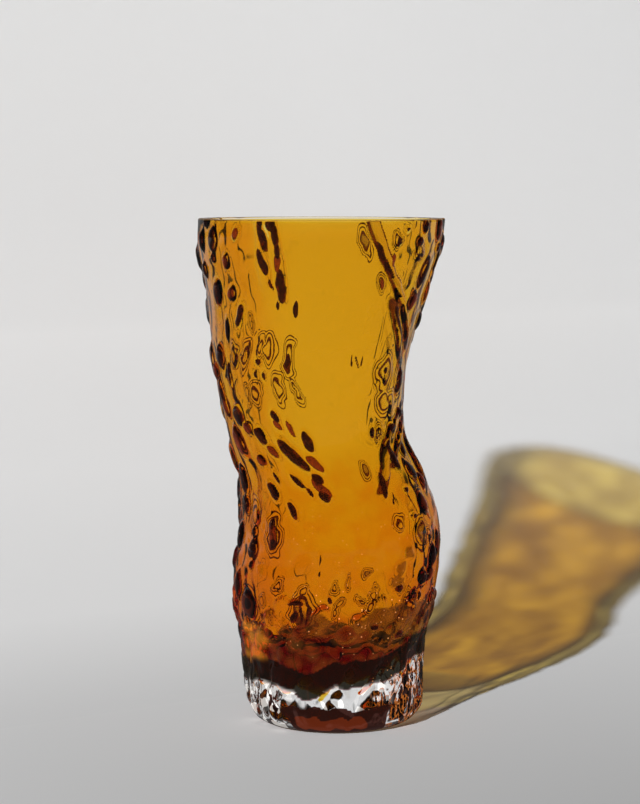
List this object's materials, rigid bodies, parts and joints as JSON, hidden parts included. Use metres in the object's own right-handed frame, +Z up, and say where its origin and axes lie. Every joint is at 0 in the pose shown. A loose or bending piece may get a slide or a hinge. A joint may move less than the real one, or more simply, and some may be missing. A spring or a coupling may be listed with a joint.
{
  "type": "glass vase",
  "caption": "Tall free-form cased glass vase: an amber cup fused in a clear, bark-textured casing on a heavy clear foot.",
  "frame": {"origin": "middle of the flat underside of the foot, on the surface that the vase stands on", "axes": "+Z up from the foot to the mouth, -Y towards the viewer of the picture's front, +X to that viewer's right"},
  "size_m": [0.1248, 0.1212, 0.25],
  "materials": {
    "clear_glass": "polished clear glass",
    "amber_glass": "polished amber glass"
  },
  "bodies": {
    "root": {"clear_casing": "clear_glass", "amber_liner": "amber_glass"}
  },
  "joints": []
}
